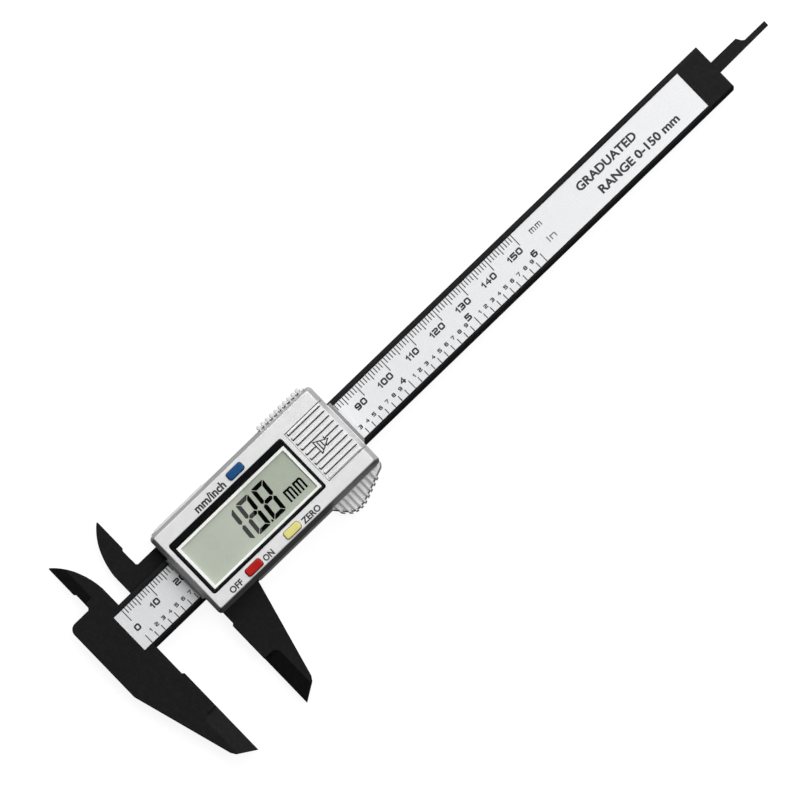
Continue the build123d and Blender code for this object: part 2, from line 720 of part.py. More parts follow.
def switch_domes():
    """The three switches under the buttons."""
    switches = []
    for centre in BUTTONS.values():
        x = (centre[0] - 2.2, centre[0] + 2.2)
        y = (centre[1] - 1.15, centre[1] + 1.15)
        base = slab(x, y, (BOARD_Z[1], BOARD_Z[1] + 0.3))
        switches.append(base + disc(centre, 1.0, (BOARD_Z[1] + 0.2, BOARD_Z[1] + 0.6)))
    return Compound(switches)


def circuit_board_screws():
    screws = []
    for centre in BOARD_SCREWS:
        upright = screw((0, 0), 1.2, (0, 0.7), 0.6, 3.4)
        screws.append(Pos(centre[0], centre[1], BOARD_Z[1] + 0.7) * Rot(180, 0, 0) * upright)
    return Compound(screws)


def button(centre):
    """A button: crowned cap, side wings under the front plate, and a stem down to its switch."""
    half_x, half_y = BUTTON_SIZE[0] / 2, BUTTON_SIZE[1] / 2
    cap = rounded_slab((-half_x, half_x), (-half_y, half_y), (11.7, BUTTON_TOP), BUTTON_CORNER)
    cap = fillet(cap.faces().sort_by(Axis.Z)[-1].edges(), 0.4)
    wings = slab((-half_x - 0.8, half_x + 0.8), (-half_y + 0.1, half_y - 0.1), (11.7, 12.5))
    stem_foot = BOARD_Z[1] + 0.6 + BUTTON_TRAVEL + 0.05
    stem = disc((0, 0), 0.8, (stem_foot, 12.0))
    return Pos(centre[0], centre[1], 0) * (cap + wings + stem)


# --- Battery ----------------------------------------------------------------------------------------
def button_cell():
    """A button cell: the wider can with a rounded rim, and the cap of the other pole underneath."""
    can = disc(CELL_CENTRE, CELL_RADIUS, (CELL_Z[0] + 0.6, CELL_Z[1]))
    can = fillet(can.edges(), 0.35)
    cap = disc(CELL_CENTRE, CELL_RADIUS - 1.0, (CELL_Z[0], CELL_Z[0] + 0.7))
    return can + cap


def battery_tray():
    """The moulding that the cell lies in, with openings for the two contacts."""
    body = slab(TRAY_X, TRAY_Y, TRAY_Z)
    body -= disc(CELL_CENTRE, CELL_RADIUS + 0.1, (BOARD_Z[1], 13))
    body -= slab((50.8, 54.2), (TRAY_Y[0] - 1, -3), (BOARD_Z[1], 7.65))
    body -= slab((TRAY_X[0] - 1, 48.0), (-0.5, 1.9), (8.2, 13))
    for y in ((TRAY_Y[0] + 0.8, -6.0), (7.2, TRAY_Y[1] - 0.8)):
        body -= slab((47.4, 50.0), y, (8.5, 13))
        body -= slab((55.0, 58.0), y, (8.5, 13))
    return body


def battery_contact_negative():
    """The strip from the board to the spring finger under the cell."""
    z = (BOARD_Z[1], BOARD_Z[1] + 0.2)
    body = slab((42.5, 54.0), (-10.9, -9.2), z)
    body += slab((51.0, 54.0), (-9.3, 1.5), z)
    return body


def battery_contact_positive():
    """The upright blade between the board and the cell's side."""
    top = BOARD_Z[1]
    body = slab((42.5, 46.3), (8.9, 10.7), (top, top + 0.25))
    body += slab((46.05, 46.3), (-1.5, 10.7), (top + 0.05, 11.2))
    body -= slab((45.5, 47), (-2, 8.9), (top - 1, top + 0.5))
    return body + slab((46.2, 47.05), (-0.2, 1.6), (8.6, 10.6))


def battery_cover():
    """The sliding cover: ribbed plate, end flange down the housing's end, and guide tongues."""
    slope = (FACE_X[1] - END_X[1]) / (FACE_Z - END_FOOT_Z)
    foot_x = END_X[1] + slope * (COVER_FOOT - END_FOOT_Z)
    section = [
        (COVER_LEFT, COVER_UNDER),
        (COVER_LEFT, FACE_Z),
        (FACE_X[1] - 0.2, FACE_Z),
        (FACE_X[1] + 0.05, FACE_Z - 0.3),
        (foot_x, COVER_FOOT),
        (foot_x - 1.0, COVER_FOOT),
        (59.15, 12.6),
        (59.15, COVER_UNDER),
    ]
    body = bar_y(section, COVER_Y)
    body += slab((COVER_LEFT + 0.3, 58.2), grow(COVER_Y, 0.6), (12.05, 12.7))
    body += slab((COVER_LEFT + 0.3, 58.2), COVER_Y, (12.05, COVER_UNDER + 0.2))
    clear = CELL_RADIUS + 0.6
    body -= disc(CELL_CENTRE, clear, (11, COVER_UNDER))
    clear_y = (CELL_CENTRE[1] - clear, CELL_CENTRE[1] + clear)
    body -= slab((COVER_LEFT - 1, CELL_CENTRE[0]), clear_y, (11, COVER_UNDER))

    return raised_arrow(ribbed(body))


def ribbed(body):
    """The cover with its ribs: each has a gentle upper side, a steep lower one and a groove below."""
    wide, deep = GROOVE
    for index in range(RIB_COUNT):
        low = RIB_FIRST + index * RIB_PITCH
        section = [
            (low - 0.12, FACE_Z - 0.1),
            (low, FACE_Z + RIB_HEIGHT),
            (low + 0.28, FACE_Z + RIB_HEIGHT),
            (low + 0.85, FACE_Z - 0.1),
        ]
        for span in BROKEN_RIBS.get(index, [RIB_X]):
            if index > 0:
                body -= slab(grow(span, wide), (low - 0.1 - wide, low - 0.1), (FACE_Z - deep, 16))
                body -= slab((span[0] - wide, span[0]), (low - 0.2, low + 0.4), (FACE_Z - deep, 16))
            body += bar_x(section, span) & slab(RIB_X, COVER_Y, (FACE_Z - 1, FACE_Z + 1))
    return body


def raised_arrow(body):
    """The cover with its arrow: a raised triangle in a groove, cut into three bars."""
    wide, deep = GROOVE
    corners = Polyline((51.3, -1.3), (54.6, 0.45), (51.3, 2.2), close=True)
    triangle = make_face(corners)
    around = offset(triangle, amount=wide, kind=Kind.INTERSECTION)
    body -= Pos(0, 0, FACE_Z - deep) * extrude(around, amount=deep + 2)
    arrow = Pos(0, 0, FACE_Z - deep - 0.1) * extrude(triangle, amount=deep + 0.1 + RIB_HEIGHT)
    for left in (51.85, 52.8):
        arrow -= slab((left, left + 0.35), (-2, 3), (FACE_Z - deep, 16))
    return body + arrow


# --- Writing the pieces -----------------------------------------------------------------------------
BEAM_PIECES = {
    "main_beam": main_beam,
    "scale_circuit_strip": scale_circuit_strip,
    "scale_label": scale_label,
    "end_stop_plate": end_stop_plate,
    "end_stop_screws": end_stop_screws,
}
SLIDER_PIECES = {
    "slider_frame": slider_frame,
    "gib_spring": gib_spring,
    "depth_rod": depth_rod,
    "depth_rod_screws": depth_rod_screws,
    "rear_label": rear_label,
    "case_screws": case_screws,
    "front_housing": front_housing,
    "display_bezel": display_bezel,
    "display_window": display_window,
    "lcd_holder": lcd_holder,
    "lcd_panel": lcd_panel,
    "lcd_reflector": lcd_reflector,
    "zebra_strips": zebra_strips,
    "main_circuit_board": main_circuit_board,
    "controller_chip": controller_chip,
    "board_components": board_components,
    "switch_domes": switch_domes,
    "circuit_board_screws": circuit_board_screws,
    "button_cell": button_cell,
    "battery_tray": battery_tray,
    "battery_contact_negative": battery_contact_negative,
    "battery_contact_positive": battery_contact_positive,
    "battery_cover": battery_cover,
}

pieces = {name: make() for name, make in BEAM_PIECES.items()}
pieces.update({name: slider(make()) for name, make in SLIDER_PIECES.items()})
pieces.update({name: slider(button(centre)) for name, centre in BUTTONS.items()})

os.makedirs("parts", exist_ok=True)
to_part_frame = Pos(-ORIGIN[0], -ORIGIN[1], -ORIGIN[2])
for name, piece in pieces.items():
    export_step(to_part_frame * piece, f"parts/{name}.step")
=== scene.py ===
"""A plastic digital caliper on a pale floor, seen from almost straight above.

The caliper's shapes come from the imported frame. This script gives every piece its material, adds the
printing on the scale, the housing and the rear label and the digits of the display, and sets up the
floor, the lights and the camera.

Places read from the frame are in metres, as Blender's are. Most other lengths are in millimetres, as
on a drawing, and MM turns one into metres. Beam coordinates are millimetres from the fixed jaw's
measuring face (x), the beam's centre line (y) and the slider's back (z). What belongs to the slider
is placed from its datum line, which lies just inside the moving jaw's measuring face.
"""

import json
import math

import bmesh
import bpy
from mathutils import Matrix, Vector


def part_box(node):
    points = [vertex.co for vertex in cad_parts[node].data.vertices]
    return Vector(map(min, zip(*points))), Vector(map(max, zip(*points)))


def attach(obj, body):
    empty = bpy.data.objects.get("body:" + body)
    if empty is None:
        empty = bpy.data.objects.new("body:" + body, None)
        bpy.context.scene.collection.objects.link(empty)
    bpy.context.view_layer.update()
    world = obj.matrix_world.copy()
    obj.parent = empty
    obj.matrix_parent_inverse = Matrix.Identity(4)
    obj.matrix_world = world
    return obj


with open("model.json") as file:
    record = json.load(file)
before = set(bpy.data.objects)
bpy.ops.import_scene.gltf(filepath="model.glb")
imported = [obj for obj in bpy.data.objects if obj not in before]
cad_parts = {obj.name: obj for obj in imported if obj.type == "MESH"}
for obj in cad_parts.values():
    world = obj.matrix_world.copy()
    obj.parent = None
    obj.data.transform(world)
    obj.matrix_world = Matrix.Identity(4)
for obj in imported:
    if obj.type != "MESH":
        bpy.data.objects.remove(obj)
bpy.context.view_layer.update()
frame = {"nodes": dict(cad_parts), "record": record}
nodes = frame["nodes"]

MM = 0.001
INCH = 25.4
JAW_SETBACK = 0.25  # from the moving jaw's measuring face to the slider's datum line
BEZEL_PROUD = 0.1  # how far the display's black frame stands out of the housing's face

# --- Places read from the frame, in metres ----------------------------------------------------------
label_low, label_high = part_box("scale_label")
moving_jaw_face = next(m for m in frame["record"]["mounts"] if m["name"] == "moving_jaw_face")
BEAM_Y = (label_low.y + label_high.y) / 2
BACK_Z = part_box("slider_frame")[0].z
LABEL_TOP = label_high.z
SLIDER_X = moving_jaw_face["pos_m"][0] + JAW_SETBACK * MM
FACE_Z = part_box("display_bezel")[1].z - BEZEL_PROUD * MM
GLASS_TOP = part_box("lcd_panel")[1].z
REAR_LABEL_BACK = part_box("rear_label")[0].z


def add_object(name, data):
    """A new object in the scene."""
    made = bpy.data.objects.new(name, data)
    bpy.context.scene.collection.objects.link(made)
    return made


# --- Meshes -----------------------------------------------------------------------------------------
BLUNT_BELOW = 0.625  # a stroke's corner is mitred in full down to this cosine of half its turn


def mesh_from(name, build):
    """A mesh made by build(bm), with its normals turned outwards."""
    bm = bmesh.new()
    build(bm)
    bmesh.ops.recalc_face_normals(bm, faces=bm.faces)
    mesh = bpy.data.meshes.new(name)
    bm.to_mesh(mesh)
    bm.free()
    return mesh


def add_print(name, build, ink_material, body):
    """Printing made by build(bm), which rides on one of the caliper's bodies."""
    mesh = mesh_from(name, build)
    mesh.materials.append(ink_material)
    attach(add_object(name, mesh), body)


def prism(bm, outline, heights):
    """A closed solid over a flat outline, a list of (x, y), between two heights, all in metres."""
    bottom, top = ([bm.verts.new((x, y, z)) for x, y in outline] for z in heights)
    bm.faces.new(bottom[::-1])
    bm.faces.new(top)
    for i in range(len(outline)):
        j = (i + 1) % len(outline)
        bm.faces.new((bottom[i], bottom[j], top[j], top[i]))


def ribbon(bm, points, width, heights, closed):
    """A printed stroke in metres: a flat ribbon of even width along a path, with mitred corners. An
    open one runs on past its end points by half its width."""
    low, high = heights
    path = [Vector(p) for p in points]
    left, right = [], []
    for i, here in enumerate(path):
        following = path[(i + 1) % len(path)]
        way_in = (here - path[i - 1]).normalized()
        way_out = (following - here).normalized()
        if not closed and i == 0:
            way_in = way_out
            here = here - way_out * width / 2
        if not closed and following is path[0]:
            way_out = way_in
            here = here + way_in * width / 2
        along = (way_in + way_out).normalized()
        across = Vector((-along.y, along.x))
        stretch = 1 / max(BLUNT_BELOW, across.dot(Vector((-way_out.y, way_out.x))))
        left.append(here + across * width / 2 * stretch)
        right.append(here - across * width / 2 * stretch)
    rings = [
        [bm.verts.new((p.x, p.y, z)) for p, z in ((a, low), (b, low), (b, high), (a, high))]
        for a, b in zip(left, right)
    ]
    pairs = list(zip(rings, rings[1:]))
    if closed:
        pairs.append((rings[-1], rings[0]))
    else:
        bm.faces.new(rings[0])
        bm.faces.new(rings[-1][::-1])
    for here, there in pairs:
        for k in range(4):
            bm.faces.new((here[k], here[(k + 1) % 4], there[(k + 1) % 4], there[k]))


# --- Lettering --------------------------------------------------------------------------------------
# Each glyph is a list of strokes on a cell one wide and one high, and only the dot of the i is above
# it. A stroke that ends where it starts is closed. The corners are cut, as in technical lettering.
RING = [(0, 0.16), (0, 0.84), (0.17, 1), (0.83, 1), (1, 0.84), (1, 0.16), (0.83, 0), (0.17, 0), (0, 0.16)]
GLYPHS = {
    "0": [RING],
    "1": [[(0, 0.7), (0.9, 1), (0.9, 0)]],
    "2": [[(0, 1), (0.83, 1), (1, 0.88), (1, 0.64), (0.83, 0.52), (0.17, 0.52), (0, 0.4), (0, 0), (1, 0)]],
    "3": [
        [(0, 1), (0.83, 1), (1, 0.88), (1, 0.62), (0.83, 0.5), (0.3, 0.5)],
        [(0.83, 0.5), (1, 0.38), (1, 0.12), (0.83, 0), (0, 0)],
    ],
    "4": [[(0.74, 0), (0.74, 1), (0, 0.3), (1, 0.3)]],
    "5": [[(1, 1), (0, 1), (0, 0.56), (0.83, 0.56), (1, 0.44), (1, 0.12), (0.83, 0), (0, 0)]],
    "6": [
        [(0.95, 1), (0.17, 1), (0, 0.84), (0, 0.16), (0.17, 0), (0.83, 0), (1, 0.14), (1, 0.42)],
        [(1, 0.42), (0.83, 0.56), (0, 0.56)],
    ],
    "7": [[(0, 1), (1, 1), (0.4, 0)]],
    "8": [RING, [(0.1, 0.52), (0.9, 0.52)]],
    "9": [
        [(0.05, 0), (0.83, 0), (1, 0.16), (1, 0.84), (0.83, 1), (0.17, 1), (0, 0.86), (0, 0.58)],
        [(0, 0.58), (0.17, 0.44), (1, 0.44)],
    ],
    "m": [
        [(0, 0), (0, 1)],
        [(0, 0.88), (0.12, 1), (0.38, 1), (0.5, 0.88), (0.5, 0)],
        [(0.5, 0.88), (0.62, 1), (0.88, 1), (1, 0.88), (1, 0)],
    ],
    "i": [[(0.5, 0), (0.5, 1)], [(0.5, 1.3), (0.5, 1.36)]],
    "n": [[(0, 0), (0, 1)], [(0, 0.88), (0.15, 1), (0.85, 1), (1, 0.88), (1, 0)]],
}
NARROW = {"1": 0.55, "i": 0.4}


def cell_width(letter, style):
    """The width of a letter's cell, which is less than the style's for the narrow ones."""
    return style["cell"] * NARROW.get(letter, 1)


def text_width(text, style):
    """How wide lettering() makes a text."""
    return sum(cell_width(letter, style) for letter in text) + style["gap"] * (len(text) - 1)


def lettering(bm, text, left, bottom, style, heights, slant=0.0):
    """Stroke lettering from a corner in beam coordinates. The style gives a cell's width, the gap
    between cells, the letters' height and the stroke's width."""
    stroke = style["stroke"]
    x = left
    for letter in text:
        cell = cell_width(letter, style)
        for path in GLYPHS[letter]:
            closed = path[0] == path[-1]
            placed = []
            for u, v in path[:-1] if closed else path:
                up = v * (style["height"] - stroke) + stroke / 2
                along = x + stroke / 2 + u * (cell - stroke) + slant * up
                placed.append((along * MM, BEAM_Y + (bottom + up) * MM))
            ribbon(bm, placed, stroke * MM, heights, closed)
        x += cell + style["gap"]


def sans_text(bm, text, box, heights, bolder, mirrored=False):
    """Printed text in the built-in sans face, stretched to fill a box (left, right, bottom, top) in
    beam coordinates. bolder thickens the letters, as a share of their height."""
    left, right, bottom, top = box
    low, high = heights
    curve = bpy.data.curves.new("text", "FONT")
    curve.body = text
    curve.offset = bolder
    curve.extrude = 0.5  # half of a depth of 1, which is then scaled to the print's
    curve.resolution_u = 3
    holder = add_object("text", curve)
    bpy.context.view_layer.update()
    mesh = bpy.data.meshes.new_from_object(holder.evaluated_get(bpy.context.evaluated_depsgraph_get()))
    bpy.data.objects.remove(holder)
    xs = [v.co.x for v in mesh.vertices]
    ys = [v.co.y for v in mesh.vertices]
    middle = Vector(((min(xs) + max(xs)) / 2, (min(ys) + max(ys)) / 2, 0))
    wide = (right - left) * MM / (max(xs) - min(xs))
    tall = (top - bottom) * MM / (max(ys) - min(ys))
    place = Vector(((left + right) / 2 * MM, BEAM_Y + (bottom + top) / 2 * MM, (low + high) / 2))
    size = Matrix.Diagonal((-wide if mirrored else wide, tall, high - low, 1))
    mesh.transform(Matrix.Translation(place) @ size @ Matrix.Translation(-middle))
    if mirrored:
        mesh.flip_normals()
    bm.from_mesh(mesh)
    bpy.data.meshes.remove(mesh)


# --- Building materials -----------------------------------------------------------------------------
NOISE_SPAN = (0.3, 0.7)  # where nearly all values of a noise texture lie


def shade(colour, factor, lift=0.0):
    """A colour made darker or lighter by a factor, with a little added."""
    return [min(1, c * factor + lift) for c in colour]


class Graph:
    """A material under construction: a Principled shader and the nodes that feed it. Every texture
    is fixed to the piece, by its own object coordinates."""

    def __init__(self, name):
        self.material = bpy.data.materials.new(name)
        self.material.use_nodes = True
        self.tree = self.material.node_tree
        self.shader = self.tree.nodes["Principled BSDF"]
        self.output = self.tree.nodes["Material Output"]
        self.place = self.node("ShaderNodeTexCoord").outputs["Object"]
        self.millimetres = self.node("ShaderNodeMapping")
        self.millimetres.inputs["Scale"].default_value = (1 / MM,) * 3
        self.link(self.place, self.millimetres.inputs["Vector"])

    def node(self, kind, **values):
        """Adds a node; values set its inputs by name, with underscores for spaces."""
        made = self.tree.nodes.new(kind)
        for name, value in values.items():
            made.inputs[name.replace("_", " ")].default_value = value
        return made

    def link(self, start, end):
        self.tree.links.new(start, end)

    def paint(self, colour):
        """Feeds the shader's colour."""
        self.link(colour, self.shader.inputs["Base Color"])

    def roughen(self, value, low, high):
        """Lets the roughness run from low to high with a noise value."""
        self.link(self.between(value, low, high), self.shader.inputs["Roughness"])

    def set(self, **values):
        """Sets the shader's inputs by name, with underscores for spaces."""
        for name, value in values.items():
            self.shader.inputs[name.replace("_", " ")].default_value = value

    def noise(self, size, detail=2.0, stretch=(1, 1, 1)):
        """A noise value whose features are about size millimetres, longer along an axis by stretch."""
        squeeze = self.node("ShaderNodeMapping")
        squeeze.inputs["Scale"].default_value = [1 / (size * s) for s in stretch]
        self.link(self.millimetres.outputs["Vector"], squeeze.inputs["Vector"])
        made = self.node("ShaderNodeTexNoise", Scale=1.0, Detail=detail)
        self.link(squeeze.outputs["Vector"], made.inputs["Vector"])
        return made.outputs["Fac"]

    def between(self, value, low, high):
        """Maps a noise value on to low..high."""
        start, end = NOISE_SPAN
        made = self.node("ShaderNodeMapRange", From_Min=start, From_Max=end, To_Min=low, To_Max=high)
        self.link(value, made.inputs["Value"])
        return made.outputs["Result"]

    def colours(self, value, low, high, start=0.35, end=0.65):
        """A colour between two, as a value goes from start to end."""
        ramp = self.node("ShaderNodeValToRGB")
        for element, position, colour in zip(ramp.color_ramp.elements, (start, end), (low, high)):
            element.position = position
            element.color = (*colour, 1)
        self.link(value, ramp.inputs["Fac"])
        return ramp.outputs["Color"]

    def mix(self, factor, first, second):
        """Blends a colour with a second one, which may be numbers; factor is a number or a value."""
        made = self.tree.nodes.new("ShaderNodeMix")
        made.data_type = "RGBA"
        if isinstance(factor, float):
            made.inputs["Factor"].default_value = factor
        else:
            self.link(factor, made.inputs["Factor"])
        self.link(first, made.inputs[6])
        if isinstance(second, tuple):
            made.inputs[7].default_value = (*second, 1)
        else:
            self.link(second, made.inputs[7])
        return made.outputs[2]

    def calculate(self, operation, first, second):
        """The outcome of an operation on a value and a second value or a number."""
        made = self.tree.nodes.new("ShaderNodeMath")
        made.operation = operation
        self.link(first, made.inputs[0])
        if isinstance(second, float):
            made.inputs[1].default_value = second
        else:
            self.link(second, made.inputs[1])
        return made.outputs["Value"]

    def within(self, value, low, high):
        """1 where a value lies between two numbers, and 0 elsewhere."""
        above = self.calculate("GREATER_THAN", value, low)
        below = self.calculate("LESS_THAN", value, high)
        return self.calculate("MULTIPLY", above, below)

    def relief(self, *layers, rounded=0.0):
        """Surface relief from (value, depth in millimetres) layers, over edges rounded by a radius."""
        normal = None
        if rounded:
            edge = self.node("ShaderNodeBevel", Radius=rounded * MM)
            edge.samples = 6
            normal = edge.outputs["Normal"]
        for value, depth in layers:
            bump = self.node("ShaderNodeBump", Strength=1.0, Distance=depth * MM)
            self.link(value, bump.inputs["Height"])
            if normal is not None:
                self.link(normal, bump.inputs["Normal"])
            normal = bump.outputs["Normal"]
        self.link(normal, self.shader.inputs["Normal"])


# --- Plastics ---------------------------------------------------------------------------------------
def moulded_plastic(
    name, colour, roughness, grain=0.12, depth=0.004, contrast=0.12, rounded=0.1, gloss=0.5, glow=0.0
):
    """Moulded plastic: slight drift of colour, fine spark-eroded grain, uneven roughness. The glow
    is painted light: the plastic shines a little by itself, so that it looks brighter than the lamps make
    it."""
    g = Graph(name)
    fine = g.noise(grain, 3.0)
    low, high = shade(colour, 1 - contrast), shade(colour, 1 + contrast)
    drift = g.colours(g.noise(9.0, 3.0), low, high)
    speckle = g.colours(fine, low, high)
    g.paint(g.mix(0.5, drift, speckle))
    g.roughen(g.noise(1.3, 4.0), roughness - 0.06, roughness + 0.06)
    g.set(Specular_IOR_Level=gloss, Emission_Color=(*colour, 1), Emission_Strength=glow)
    g.relief((fine, depth), (g.noise(4.0, 1.0), depth * 1.5), rounded=rounded)
    return g.material


def button_plastic(name, colour, contrast, gloss):
    """The satin plastic of a button."""
    return moulded_plastic(name, colour, 0.36, 0.1, 0.003, contrast, rounded=0.12, gloss=gloss)


def black_composite():
    """Fibre-filled black plastic: satin, with short fibres just showing and a fine moulded grain."""
    g = Graph("black_composite")
    fibres = g.noise(0.5, 3.0, stretch=(4, 1, 1))
    cross_fibres = g.noise(0.45, 3.0, stretch=(1, 4, 1))
    dark = (0.0025, 0.0025, 0.0026)
    base = g.colours(g.noise(12.0, 3.0), (0.0042, 0.0042, 0.0044), (0.0064, 0.0064, 0.0066))
    flecks = g.colours(fibres, dark, (0.013, 0.013, 0.0134), 0.4, 0.72)
    cross_flecks = g.colours(cross_fibres, dark, (0.011, 0.011, 0.0114), 0.4, 0.75)
    g.paint(g.mix(0.4, g.mix(0.45, base, flecks), cross_flecks))
    g.roughen(g.noise(0.8, 4.0), 0.46, 0.6)
    g.set(Specular_IOR_Level=0.11)
    g.relief((g.noise(0.14, 2.0), 0.006), (fibres, 0.004), (g.noise(6.0, 1.0), 0.01), rounded=0.12)
    return g.material


# Where the silver gives way to darker grey on the lips, and to painted shade on the lower wall and in the
# battery cover's groove lines, in millimetres: x from the slider's datum line, y from the beam's centre
# line, heights from the slider's back and depths from the housing's face.
SILVER_X = (-0.42, 61.32)  # only the lips over the beam reach past these
LOWER_WALL_Y = -12.9  # the housing's lower wall is outside this line
HUMP_TOP = 5.6  # height of the thumb hump, above which that wall gets painted shade
GROOVES_X = (46.8, 59.7)
GROOVES_Y = (-8.45, 9.7)
GROOVE_DEPTHS = (0.15, 1.2)
# The lips' darker grey, which on the housing's lower wall is painted shade, and the painted shadow of the
# battery cover's groove lines and gaps
LIP_GREY_AND_WALL_SHADE = (0.2, 0.2, 0.202)
GROOVE_PAINTED_SHADOW = (0.03, 0.03, 0.031)


def unpainted_places(g):
    """Two values, 1 where the silver is darkened and 0 elsewhere. One is for the lips past the ends of
    the housing's walls, which are darker grey, and for its lower wall, which gets painted shade. The other
    is for the painted shadow in the battery cover's groove lines and gaps."""
    place = g.node("ShaderNodeSeparateXYZ")
    g.link(g.place, place.inputs["Vector"])
    x, y, z = (place.outputs[axis] for axis in "XYZ")

    left, right = (SLIDER_X + edge * MM for edge in SILVER_X)
    # The lips past the walls' ends are darker grey; the lower wall above the hump gets painted shade.
    lips = g.calculate("MAXIMUM", g.calculate("LESS_THAN", x, left), g.calculate("GREATER_THAN", x, right))
    low_side = g.calculate("LESS_THAN", y, BEAM_Y + LOWER_WALL_Y * MM)
    above_hump = g.calculate("GREATER_THAN", z, BACK_Z + HUMP_TOP * MM)
    darker_lips_and_wall_shade = g.calculate("MAXIMUM", lips, g.calculate("MULTIPLY", low_side, above_hump))

    # Painted shadow where the battery cover's groove lines and gaps sink below the face.
    shallow, deep = GROOVE_DEPTHS
    across = g.within(x, *(SLIDER_X + edge * MM for edge in GROOVES_X))
    along = g.within(y, *(BEAM_Y + edge * MM for edge in GROOVES_Y))
    down = g.within(z, FACE_Z - deep * MM, FACE_Z - shallow * MM)
    groove_shadow = g.calculate("MULTIPLY", g.calculate("MULTIPLY", across, along), down)
    return darker_lips_and_wall_shade, groove_shadow


def silver_paint():
    """Silver paint on plastic: pale grey with fine metal flake and darker grey on the lips. It has painted
    shade on the lower wall and a painted shadow in the battery cover's groove lines.
    """
    g = Graph("silver_paint")
    flake = g.noise(0.07, 1.0)
    pale = g.colours(g.noise(3.5, 3.0), (0.655, 0.655, 0.66), (0.71, 0.71, 0.715))
    sparkle = g.colours(flake, (0.58, 0.58, 0.583), (0.86, 0.86, 0.863), 0.36, 0.66)
    darker_lips_and_wall_shade, groove_shadow = unpainted_places(g)
    # Painted shade in the colour: the lower wall and the cover's groove lines are darkened, and the lips
    # are made darker grey.
    g.paint(g.mix(groove_shadow, g.mix(darker_lips_and_wall_shade, g.mix(0.35, pale, sparkle), LIP_GREY_AND_WALL_SHADE), GROOVE_PAINTED_SHADOW))
    g.roughen(g.noise(0.5, 3.0), 0.36, 0.5)
    g.set(Metallic=0.18, Specular_IOR_Level=0.5)
    g.relief((flake, 0.004), (g.noise(2.2, 2.0), 0.004), rounded=0.12)
    return g.material


# --- Films, inks and metals -------------------------------------------------------------------------
def printed_film(name, colour, sheen):
    """A printed metallised film: silver grey with a fine sparkle of pigment."""
    g = Graph(name)
    pigment = g.noise(0.3, 3.0)
    clouds = g.colours(g.noise(14.0, 2.0), colour, shade(colour, 1.02))
    sparkle = g.colours(pigment, shade(colour, 0.9), shade(colour, 1.07))
    g.paint(g.mix(0.6, clouds, sparkle))
    g.roughen(pigment, 0.36, 0.5)
    g.set(Metallic=sheen, Specular_IOR_Level=0.5)
    g.relief((pigment, 0.003), (g.noise(5.0, 1.0), 0.006))
    return g.material


def ink(name, colour):
    """Printing ink: a little uneven in density, satin."""
    g = Graph(name)
    density = g.noise(0.25, 3.0)
    g.paint(g.colours(density, shade(colour, 0.8), shade(colour, 1.35, lift=0.004)))
    g.roughen(density, 0.42, 0.6)
    g.relief((density, 0.0015))
    return g.material


def metal(name, colour, roughness, brush=(1, 14, 1)):
    """Plated or rolled metal with a drawn surface, whose lines are longer along an axis by brush."""
    g = Graph(name)
    lines = g.noise(0.1, 3.0, stretch=brush)
    dull = shade(colour, 0.82)
    g.paint(g.mix(0.45, g.colours(lines, dull, colour), g.colours(g.noise(2.5, 3.0), dull, colour)))
    g.roughen(lines, roughness - 0.08, roughness + 0.1)
    g.set(Metallic=1.0)
    g.relief((lines, 0.002), rounded=0.05)
    return g.material


# --- Display, circuit board and floor ---------------------------------------------------------------
def clear_window():
    """Clear acrylic: see-through, with a glossy hard coat that reflects a little unevenly. Only its
    outer side reflects, so that the display under it isn't dimmed on the way in and out."""
    g = Graph("clear_window")
    through = g.node("ShaderNodeBsdfTransparent", Color=(0.995, 1.0, 0.995, 1))
    mirror = g.node("ShaderNodeBsdfGlossy", Roughness=0.0)
    haze = g.colours(g.noise(16.0, 2.0), (0.86, 0.86, 0.86), (1, 1, 1))
    g.link(haze, mirror.inputs["Color"])
    fresnel = g.node("ShaderNodeFresnel", IOR=1.9)
    backface = g.node("ShaderNodeNewGeometry").outputs["Backfacing"]
    outside = g.calculate("LESS_THAN", backface, 0.5)
    blend = g.node("ShaderNodeMixShader")
    g.link(g.calculate("MULTIPLY", fresnel.outputs["Fac"], outside), blend.inputs["Fac"])
    g.link(through.outputs["BSDF"], blend.inputs[1])
    g.link(mirror.outputs["BSDF"], blend.inputs[2])
    g.link(blend.outputs["Shader"], g.output.inputs["Surface"])
    g.tree.nodes.remove(g.shader)
    return g.material


def display_glass():
    """The display's glass over its sage grey film, a little paler in patches."""
    g = Graph("display_glass")
    patches = g.noise(11.0, 2.0)
    g.paint(g.colours(patches, (0.46, 0.497, 0.424), (0.476, 0.513, 0.437)))
    g.roughen(patches, 0.26, 0.34)
    g.set(Specular_IOR_Level=0.3)
    g.relief((patches, 0.004))
    return g.material


def display_segment():
    """A segment that is on: dense black, a touch uneven."""
    g = Graph("display_segment")
    g.paint(g.colours(g.noise(2.5, 1.0), (0.0006, 0.0007, 0.0006), (0.0011, 0.0012, 0.0011)))
    g.roughen(g.noise(1.5), 0.5, 0.6)
    g.set(Specular_IOR_Level=0.0)
    return g.material


def circuit_board():
    """Green solder mask with buried tracks showing as slightly paler lines."""
    g = Graph("circuit_board")
    tracks = g.node(
        "ShaderNodeTexBrick",
        Scale=0.35,
        Mortar_Size=0.012,
        Color1=(0.012, 0.09, 0.035, 1),
        Color2=(0.014, 0.1, 0.04, 1),
        Mortar=(0.03, 0.17, 0.07, 1),
    )
    g.link(g.millimetres.outputs["Vector"], tracks.inputs["Vector"])
    weave = g.colours(g.noise(0.3, 2.0), (0.012, 0.09, 0.035), (0.02, 0.12, 0.05))
    g.paint(g.mix(0.4, tracks.outputs["Color"], weave))
    g.roughen(g.noise(1.0), 0.25, 0.4)
    g.relief((tracks.outputs["Fac"], 0.01))
    return g.material


